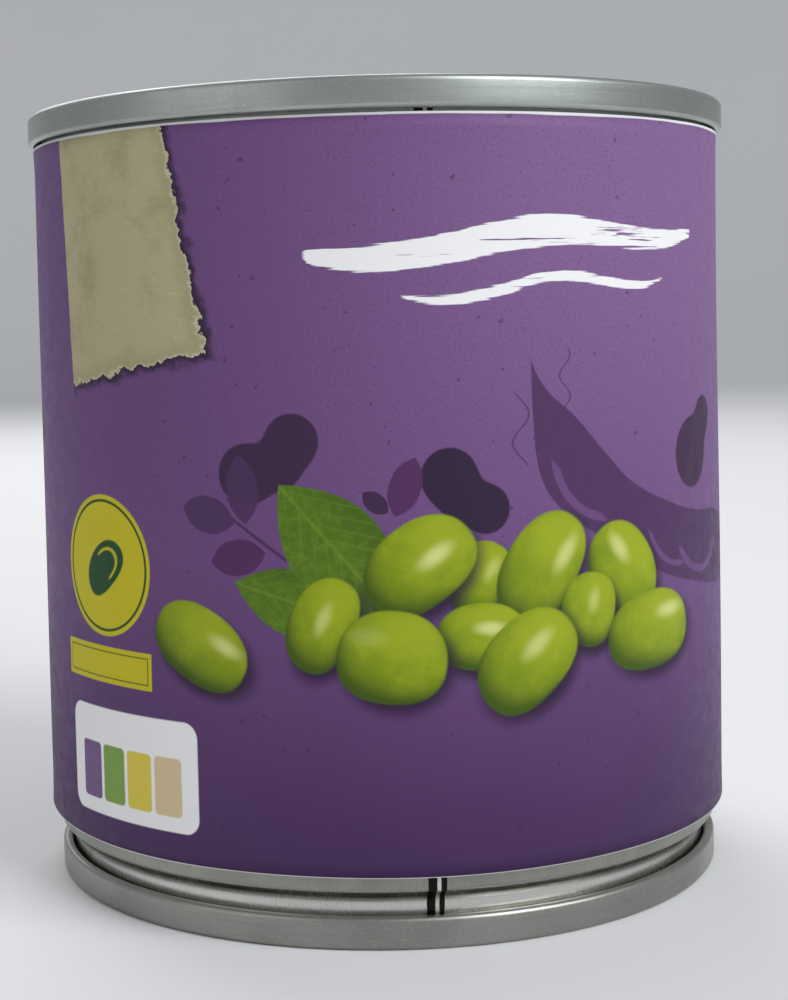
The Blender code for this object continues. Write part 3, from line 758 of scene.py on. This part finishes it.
LIGHT_ANGLE, REAR_EDGE, REAR_SHRINK, REAR_STEP = 58, -46.5, 0.2, (114.4, -24.6)


def printed_bean(ground, plan, skin, centre, half, angle, gloss, shine):
    """A bean, shaded as a ball: its height is sqrt(1 - reach^2), and its light is how squarely that
    ball faces a lamp at the upper right.  A soft shadow lies under it."""
    _, _, under = oval(plan, (centre[0] + 0.5, centre[1] - 0.8), np.multiply(half, 1.06), angle)
    ground = painted(ground, SHADOW_INK, within(under, 1.0, 0.20) * 0.85)
    x, y, reach = oval(plan, centre, half, angle, 2.3, 0.08)
    height = (reach * reach * -1 + 1).most(0) ** 0.5
    lamp = np.radians(LIGHT_ANGLE - angle)
    light = x * (0.62 * np.cos(lamp)) + y * (0.62 * np.sin(lamp)) + height * 0.75
    green = painted(BEAN_GREEN, BEAN_LIGHT, skin.ramp(0.35, 0.75, 0.0, 0.6))
    green = painted(BEAN_SHADE, green, light.ramp(-0.25, 0.62))
    green = painted(green, BEAN_LIGHT, light.ramp(0.55, 1.0, 0.0, 0.75))
    shine_centre = turned_from(centre, half, angle, gloss)
    _, _, spot = oval(plan, shine_centre, np.multiply(half, (0.42, 0.26)), angle)
    green = painted(green, BEAN_GLOSS, spot.ramp(1.2, 0.15, 0.0, shine))
    return painted(ground, green, within(reach, 1.0, 0.035))


def turned_from(centre, half, angle, offset):
    """A place given in a shape's own frame, on the plan."""
    turn = np.radians(angle)
    x, y = np.multiply(half, offset)
    return (centre[0] + x * np.cos(turn) - y * np.sin(turn),
            centre[1] + x * np.sin(turn) + y * np.cos(turn))


def printed_leaf(ground, plan, centre, half, angle, lean=0.0):
    """A pointed leaf, |y| < (1 - x^2)(1 + lean x), with a midrib and slanting veins that are the
    crests of a sine in x and |y|."""
    x, y = placed(plan, centre, angle, half)
    side = abs(y)
    blade = (x * x * -1 + 1) * (x * lean + 1)
    veins = (x * 26 - side * 20).math("SINE").ramp(0.80, 1.0)
    net = mottle(plan, 1.1, 4.0, 0.7)
    green = painted(LEAF_GREEN, LEAF_LIGHT, net.ramp(0.40, 0.75, 0.0, 0.7))
    green = painted(green, LEAF_DARK, y.ramp(0.1, 0.9, 0.0, 0.35) + x.ramp(0.1, 1.0, 0.0, 0.55))
    green = painted(green, LEAF_LIGHT, veins * 0.32 + within(side, 0.035, 0.03) * 0.6)
    return painted(ground, green, within(side - blade, -0.01, 0.02))


def silhouette(ground, plan, ink, centre, half, angle):
    """A plain leaf or seed shape in one ink: |y| < 1 - |x|^2.6."""
    x, y = placed(plan, centre, angle, half)
    return painted(ground, ink, within(abs(y) + abs(x) ** 2.6, 1.0, 0.05) * 0.92)


def pea_shape(plan, *discs):
    """The distance from the outline of discs that run smoothly into one another."""
    gap = from_point(plan, discs[0][:2]) - discs[0][2]
    for across, up, radius in discs[1:]:
        gap = gap.math("SMOOTH_MIN", from_point(plan, (across, up)) - radius, 2.6)
    return gap


def hoop(plan, centre, radius, half_width):
    """A thin circle: 1 near its radius."""
    return within(abs(from_point(plan, centre) - radius), half_width, 0.08)


def box_reach(plan, centre, half, corner, angle=0.0):
    """The distance outside a rectangle with round corners, in millimetres; below 0 inside it."""
    x, y = placed(plan, centre, angle)
    x, y = abs(x) - (half[0] - corner), abs(y) - (half[1] - corner)
    outside = (x.most(0) ** 2 + y.most(0) ** 2) ** 0.5
    return outside + x.most(y).least(0) - corner


def purple_ground(plan, across, up, grain):
    """The purple tint: deeper at the foot, a painted sheen towards the upper right for the varnish's
    reflection of the light there, and a fine printed grain.
    """
    cloud = mottle(plan, 0.05, 2.0)
    ground = painted(PURPLE_LOW, PURPLE, (up + cloud * 8).ramp(6, 44))
    # Painted sheen: the purple is paler towards the upper right, for the varnish's reflection of the
    # light.
    painted_sheen = up.ramp(24, 72) * across.ramp(-26, 34) * across.ramp(100, 50)
    ground = painted(ground, PURPLE_SHEEN, painted_sheen * 0.8)
    ground = painted(ground, PLUM_MID, grain.ramp(0.50, 0.72, 0.0, 0.50))
    specks = mottle(plan, 0.9, 1.0).ramp(0.735, 0.76)
    return painted(ground, PLUM, specks * 0.5)


def rear_copy(across, up):
    """The plan of the front, used again behind the left side: beyond REAR_EDGE a place (x, y) reads
    the front's print at 1.2 x + 114.4, 1.2 y - 24.6, so its shapes come out there at 5/6 size."""
    behind = across.math("LESS_THAN", REAR_EDGE)
    x, y = (way + behind * (way * REAR_SHRINK + step) for way, step in zip((across, up), REAR_STEP))
    return across.node("CombineXYZ", {0: x, 1: y})


def plant_shapes(ground, plan):
    """Plain dark shapes of pods, sprigs and seeds."""
    across, up, _ = separated(plan)
    tendrils = []
    for middle, pace, swing, thin, foot, top in ((13.6, 1.15, 0.85, 0.11, (45.3, 46), (53, 52)),
                                                 (18.4, 1.6, 0.6, 0.10, (50, 51), (57, 56))):
        off = abs(across - middle - (up * pace).math("SINE") * swing)
        tendrils.append(within(off, thin, 0.07) * up.ramp(*foot) * up.ramp(*top))
    tendril = tendrils[0].most(tendrils[1])
    ground = painted(ground, PLUM_MID, tendril * 0.8)
    crest, belly = along_curve(across, POD_CREST), along_curve(across, POD_BELLY)
    pod = within(up - crest, 0, 0.12) * within(belly - up, 0, 0.12)
    pod = pod * across.ramp(14.6, 14.9) * across.ramp(57.0, 56.9)
    ground = painted(ground, PLUM_MID, pod * 0.95)
    swell = hoop(plan, (23.6, 46.6), 6.4, 0.42) * (up + across * 0.95).ramp(62.4, 61.7)
    swell = swell.most(hoop(plan, (40.0, 39.5), 6.1, 0.40) * up.ramp(36.4, 35.8))
    swell = swell.most(hoop(plan, (34.6, 40.0), 5.4, 0.30) * (up + across * 0.6).ramp(56.2, 55.6))
    ground = painted(ground, PURPLE, swell * pod * 0.85)
    for ink, *discs in SEEDS:
        ground = painted(ground, ink, within(pea_shape(plan, *discs), 0, 0.12) * 0.95)
    stem, off = placed(plan, (-12.6, 39.9), -35.5)
    ground = painted(ground, PLUM_MID, within(abs(off), 0.16, 0.08) * within(abs(stem), 4.5, 0.2))
    for leaf in SPRIG_LEAVES:
        ground = silhouette(ground, plan, *leaf)
    return ground


def torn_patch(ground, plan, across, up):
    """A bare scrap of rough paper at the upper left.  Its left edge is cut straight, its right and
    lower edges are torn along a noisy line with a pale fibrous lip, and it casts a thin shadow."""
    tear = (mottle(plan, 0.45, 4.0, 0.62) - 0.5) * 3.2
    left = across + 38.2 + (up - LABEL_TOP) * 0.064 + tear * 0.12
    right = (across * -1) - 21.3 - (up - LABEL_TOP) * 0.198 + tear
    foot = up - 53.6 - (across + 36.6) * 0.168 + tear
    inner = left.least(right.least(foot))
    ground = painted(ground, SHADOW_INK, inner.ramp(-1.3, -0.1, 0.0, 0.9) * left.ramp(-0.2, 0.6))
    fibre = mottle(stretched(plan, (1.0, 2.6, 1.0)), 0.9, 5.0, 0.75)
    scrap = painted(BEIGE, BEIGE_DARK, mottle(plan, 0.16, 4.0, 0.6).ramp(0.46, 0.74, 0.0, 0.8))
    scrap = painted(scrap, BEIGE_LIGHT, fibre.ramp(0.50, 0.75, 0.0, 0.4))
    scrap = painted(scrap, BEIGE_DARK, right.least(foot).ramp(2.2, 0.5, 0.0, 0.45))
    scrap = painted(scrap, BEIGE_LIGHT, right.least(foot).ramp(0.40, 0.10, 0.0, 0.6))
    return painted(ground, scrap, inner.ramp(-0.06, 0.06))


def brushed_stroke(ground, plan, middle, length, height, thick, slant):
    """A dry brush stroke: a band |y| < thick * (4 s (1 - s))^0.4 about a slow wave, where s runs from
    0 to 1 along it, broken by streaks towards its end."""
    along, off = placed(plan, (middle, height), slant)
    share = (along + length / 2) * (1 / length)
    taper = ((share * (share * -1 + 1) * 4).most(0) ** 0.4) * (share * -0.35 + 1) * thick
    off = off + (share * 9).math("SINE") * 0.75
    streaks = mottle(stretched(plan, (0.10, 2.6, 1.0)), 1.0, 3.0, 0.6)
    ragged = (streaks - 0.5) * 1.1
    ink = within(abs(off) + ragged - taper, 0, 0.07)
    dry = (streaks + share * 0.16).ramp(0.72, 0.68)
    return painted(ground, WHITE_INK, ink * dry * share.ramp(0.0, 0.01) * share.ramp(1.0, 0.99))


def small_marks(ground, plan):
    """A round sticker with a plain bean, a bare yellow bar, and a white card of plain ink squares."""
    disc = from_point(plan, (-31.4, 35.7))
    ground = painted(ground, YELLOW, within(disc, 7.1, 0.1))
    ground = painted(ground, GREEN_INK, hoop(plan, (-31.4, 35.7), 6.5, 0.14))
    x, _, bean = oval(plan, (-31.4, 35.6), (3.5, 2.2), 40, 2.2, 0.16)
    ground = painted(ground, GREEN_INK, within(bean, 1.0, 0.04))
    ground = painted(ground, YELLOW, within(abs(bean - 0.66), 0.06, 0.04) * x.ramp(-0.1, 0.1) * 0.9)
    bar = box_reach(plan, (-31.8, 25.7), (7.35, 1.85), 0.12, -0.5)
    ground = painted(ground, YELLOW, within(bar, 0, 0.08))
    ground = painted(ground, GREEN_INK, within(abs(bar + 0.55), 0.07, 0.06) * 0.8)
    card = box_reach(plan, (-28.7, 15.7), (9.7, 5.5), 1.6)
    ground = painted(ground, WHITE_INK, within(card, 0, 0.1))
    inks = ((0.13, 0.05, 0.19), (0.16, 0.30, 0.03), (0.62, 0.50, 0.03), (0.60, 0.47, 0.27))
    for place, ink in zip((-34.6, -30.65, -26.7, -22.75), inks):
        square = box_reach(plan, (place, 14.6), (1.75, 2.9), 0.5)
        ground = painted(ground, ink, within(square, 0, 0.08) * 0.95)
    return ground


def back_panel(ground, plan, across, up):
    """The back's plain white card: rules of uneven length, a ruled grid, and upright bars.  Each row's
    end and each bar is picked by the fraction of a large sine of its number."""
    card = box_reach(plan, (80.0, 43.0), (24.0, 31.0), 1.5)
    ground = painted(ground, WHITE_INK, within(card, 0, 0.1))
    inner = within(card, -2.5, 0.1)
    rule_pitch, bar_pitch, row_pitch = 2.4, 0.36, 3.0
    rules = (up * (2 * np.pi / rule_pitch)).math("SINE").ramp(0.80, 0.90)
    row = (up * (1 / rule_pitch)).math("FLOOR")
    ends = ((row * 12.99).math("SINE") * 437.5).math("FRACT").ramp(0.15, 1.0, 101.5, 80.0)
    lines = rules * up.ramp(45.5, 46.0) * within(across - ends, 0, 0.2) * inner
    slot = (across * (1 / bar_pitch)).math("FLOOR")
    bars = ((slot * 7.13).math("SINE") * 437.5).math("FRACT").ramp(0.47, 0.50)
    code = within(box_reach(plan, (68.5, 23.0), (9.0, 8.0), 0.1), 0, 0.08)
    grid = box_reach(plan, (91.5, 27.0), (9.0, 12.0), 0.1)
    table, grid_edge = within(grid, 0, 0.08), within(abs(grid), 0.12, 0.06)
    rows = (up * (2 * np.pi / row_pitch)).math("SINE").ramp(0.93, 0.97) * table
    middle_line = within(abs(across - 94.0), 0.08, 0.06) * table
    ruled = grid_edge.most(rows * 0.8).most(middle_line) * inner
    return painted(ground, BLACK_INK, (lines * 0.65).most(bars * code).most(ruled))


def label_print():
    """Varnished offset print: the grounds, shapes, scrap and marks, then the beans, and at the top a
    thin unprinted margin."""
    material, plan, _ = finish("label_print")
    across, up, _ = separated(plan)
    grain = mottle(plan, 3.4, 2.0, 0.8)
    colour = purple_ground(plan, across, up, grain)
    colour = plant_shapes(colour, rear_copy(across, up))
    colour = printed_leaf(colour, plan, (-8.2, 33.3), (6.4, 3.2), -17)
    colour = printed_leaf(colour, plan, (-4.2, 38.2), (8.3, 4.6), -49)
    skin = mottle(plan, 0.32, 4.0, 0.65)
    for bean in BEANS:
        colour = printed_bean(colour, plan, skin, *bean)
    colour = torn_patch(colour, plan, across, up)
    colour = small_marks(colour, plan)
    colour = brushed_stroke(colour, plan, 15.5, 45.0, 66.8, 1.7, 3.0)
    colour = brushed_stroke(colour, plan, 17.0, 30.0, 62.6, 0.6, 3.0)
    colour = back_panel(colour, plan, across, up)
    ragged = up + mottle(stretched(plan, (1.0, 0.0, 1.0)), 0.08, 2.0) * 0.35
    margin = ragged.ramp(LABEL_TOP - 0.12, LABEL_TOP)
    margin = margin + up.ramp(LABEL_BOTTOM + 0.10, LABEL_BOTTOM + 0.05)
    colour = painted(colour, WHITE_INK, margin)
    colour = painted(colour, (0.60, 0.55, 0.62), grain.ramp(0.60, 0.80, 0.0, 0.07))
    fibre = mottle(plan, 0.55, 4.0, 0.6)
    return coated(material, colour, fibre.ramp(0.3, 0.7, 0.46, 0.58), fibre * 0.6 + grain * 0.4, 0.02,
                  specular=0.22)


def raw_paper():
    """The unprinted side and the cut edges: white paper with long soft fibres."""
    material, _, place = finish("raw_paper")
    fibre = mottle(stretched(place, (700.0, 700.0, 2600.0)), 1.0, 4.0, 0.7)
    colour = painted((0.80, 0.79, 0.76), (0.66, 0.64, 0.60), fibre.ramp(0.45, 0.75, 0.0, 0.7))
    return coated(material, colour, fibre.ramp(0.3, 0.7, 0.75, 0.9), fibre, 0.02)


label = label_sleeve()
label.data.materials.append(label_print())
label.data.materials.append(raw_paper())
paper = label.modifiers.new("paper", "SOLIDIFY")
paper.thickness = LABEL_PAPER * MM
paper.offset = -1.0
paper.material_offset = paper.material_offset_rim = 1
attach(label, "can")
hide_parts("paper_label")

# Two upright lines of hot-melt glue, laid at the lap: one holds the label's start to the wall and
# the other holds the label's end down on its start.
GLUE_MARGIN, GLUE_HALF_ANGLE, GLUE_FOOT, GLUE_GAP = 4.0, 6.75, -0.58, 0.03


def glue_line(name, inner, outer):
    """A flattened bead behind the can, between two depths counted outwards from the sleeve's face.
    Its half width wavers along its height and closes to nothing at both ends, as (1 - s^10)^0.5 with
    s from -1 to 1."""
    girths = np.radians(np.linspace(0, 360, 17))
    share, girth = np.meshgrid(np.linspace(-1, 1, 121), girths, indexing="ij")
    height = (LABEL_BOTTOM + LABEL_TOP) / 2 + share * ((LABEL_TOP - LABEL_BOTTOM) / 2 - GLUE_MARGIN)
    full = np.sqrt(1 - share ** 10)
    waver = 0.92 + 0.06 * np.sin(0.7 * height) + 0.02 * np.sin(2.3 * height + 1)
    angle = np.pi + np.radians(GLUE_HALF_ANGLE) * waver * full * np.cos(girth)
    depth = (inner + outer) / 2 + (outer - inner) / 2 * full * np.sin(girth)
    radius = sleeve_radius(angle, height) + depth
    return surface(name, [np.stack([radius * np.sin(angle), -radius * np.cos(angle), height], -1)])


def hot_glue():
    """Honey-coloured glue with cloudy strings and small bubbles."""
    material, _, place = finish("hot_glue")
    cloud = mottle(stretched(place, (900.0, 900.0, 260.0)), 1.0, 3.0)
    bubbles = mottle(place, 2200.0, 2.0, 0.6)
    colour = painted((0.68, 0.60, 0.38), (0.52, 0.42, 0.22), cloud.ramp(0.35, 0.7))
    colour = painted(colour, (0.78, 0.73, 0.55), bubbles.ramp(0.62, 0.72, 0.0, 0.7))
    return coated(material, colour, cloud.ramp(0.3, 0.7, 0.42, 0.58), bubbles, 0.03)


glue = hot_glue()
for glue_name, node, inner, outer in (
        ("label_start_glue_line", "label_start_glue", GLUE_FOOT, -LABEL_PAPER - GLUE_GAP),
        ("label_lap_glue_line", "label_lap_glue", GLUE_GAP, LAP_RISE - LABEL_PAPER - GLUE_GAP)):
    bead = glue_line(glue_name, inner, outer)
    bead.data.materials.append(glue)
    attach(bead, "can")
    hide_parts(node)

# ---- Studio ----
# A pale floor, a large soft light above on the right, a weaker one on the left, and the camera a
# hand's reach away, a little above the middle of the can and looking slightly down.
CAMERA_AWAY, CAMERA_UP = 207.7, 60.4
CAMERA_PITCH, CAMERA_ROLL, CAMERA_YAW = 3.49, -1.27, -1.43
CAMERA_LENS, CAMERA_SHIFT = 66.5, (0.061, -0.075)
CAN_MIDDLE, FLOOR_ROUGHNESS = (0, 0, 0.04), 0.9
DAYLIGHT, DAYLIGHT_STRENGTH = (0.93, 0.96, 1.0, 1.0), 0.46


def stand(axes, place):
    """The matrix, column by column, of a thing with these three axes at a place."""
    matrix = np.eye(4)
    matrix[:3, :3] = axes
    matrix[3, :3] = place
    return matrix.tolist()


def camera_axes():
    """The camera's right, up and back directions from its pitch, roll and yaw."""
    pitch, roll, yaw = np.radians([CAMERA_PITCH, CAMERA_ROLL, CAMERA_YAW])
    ahead = np.array([np.sin(yaw) * np.cos(pitch), np.cos(yaw) * np.cos(pitch), -np.sin(pitch)])
    level = np.array([np.cos(yaw), -np.sin(yaw), 0.0])
    upright = np.cross(level, ahead)
    right = np.cos(roll) * level + np.sin(roll) * upright
    up = np.cos(roll) * upright - np.sin(roll) * level
    return [right, up, -ahead]


view = bpy.data.objects.new("camera", bpy.data.cameras.new("camera"))
bpy.context.scene.collection.objects.link(view)
view.matrix_world = stand(camera_axes(), np.array([0, -CAMERA_AWAY, CAMERA_UP]) * MM)
view.data.lens = CAMERA_LENS
view.data.shift_x, view.data.shift_y = CAMERA_SHIFT
view.data.clip_start = 0.01
bpy.context.scene.camera = view
bpy.context.scene.view_settings.view_transform = "Standard"


def softbox(name, place, size, power, colour):
    """A square light that faces the can's middle."""
    lamp = bpy.data.objects.new(name, bpy.data.lights.new(name, "AREA"))
    bpy.context.scene.collection.objects.link(lamp)
    lamp.data.size, lamp.data.energy, lamp.data.color = size, power, colour
    back = np.array(place) - CAN_MIDDLE
    back /= np.linalg.norm(back)
    right = np.cross([0, 0, 1], back)
    right /= np.linalg.norm(right)
    lamp.matrix_world = stand([right, np.cross(back, right), back], place)


softbox("window_light", (0.50, -0.42, 0.50), 0.5, 4.4, (0.97, 0.98, 1.0))
softbox("fill_light", (-0.6, -0.5, 0.35), 0.6, 0.7, (1.0, 0.97, 0.94))
softbox("back_light", (-0.2, 0.6, 0.6), 0.6, 3.0, (1.0, 1.0, 1.0))

turns = np.linspace(-180, 180, 97)
cove = bent([(0.0, 0.0, 0), (1500.0, 0.0, 450.0), (1750.0, 520.0, 0)], 6)
floor = surface("floor", [carried_round(cove, turns)])
floor.data.flip_normals()
floor_paint, _, floor_place = finish("floor_paint")
floor_shader = floor_paint.node_tree.nodes["Principled BSDF"]
connect(floor_place.tree, floor_shader.inputs["Base Color"],
        painted((0.82, 0.82, 0.83), (0.78, 0.78, 0.79), mottle(floor_place, 3.0)))
floor_shader.inputs["Roughness"].default_value = FLOOR_ROUGHNESS
floor.data.materials.append(floor_paint)

world = bpy.data.worlds.new("daylight")
bpy.context.scene.world = world
world.use_nodes = True
sky = world.node_tree.nodes["Background"]
sky.inputs[0].default_value = DAYLIGHT
sky.inputs[1].default_value = DAYLIGHT_STRENGTH
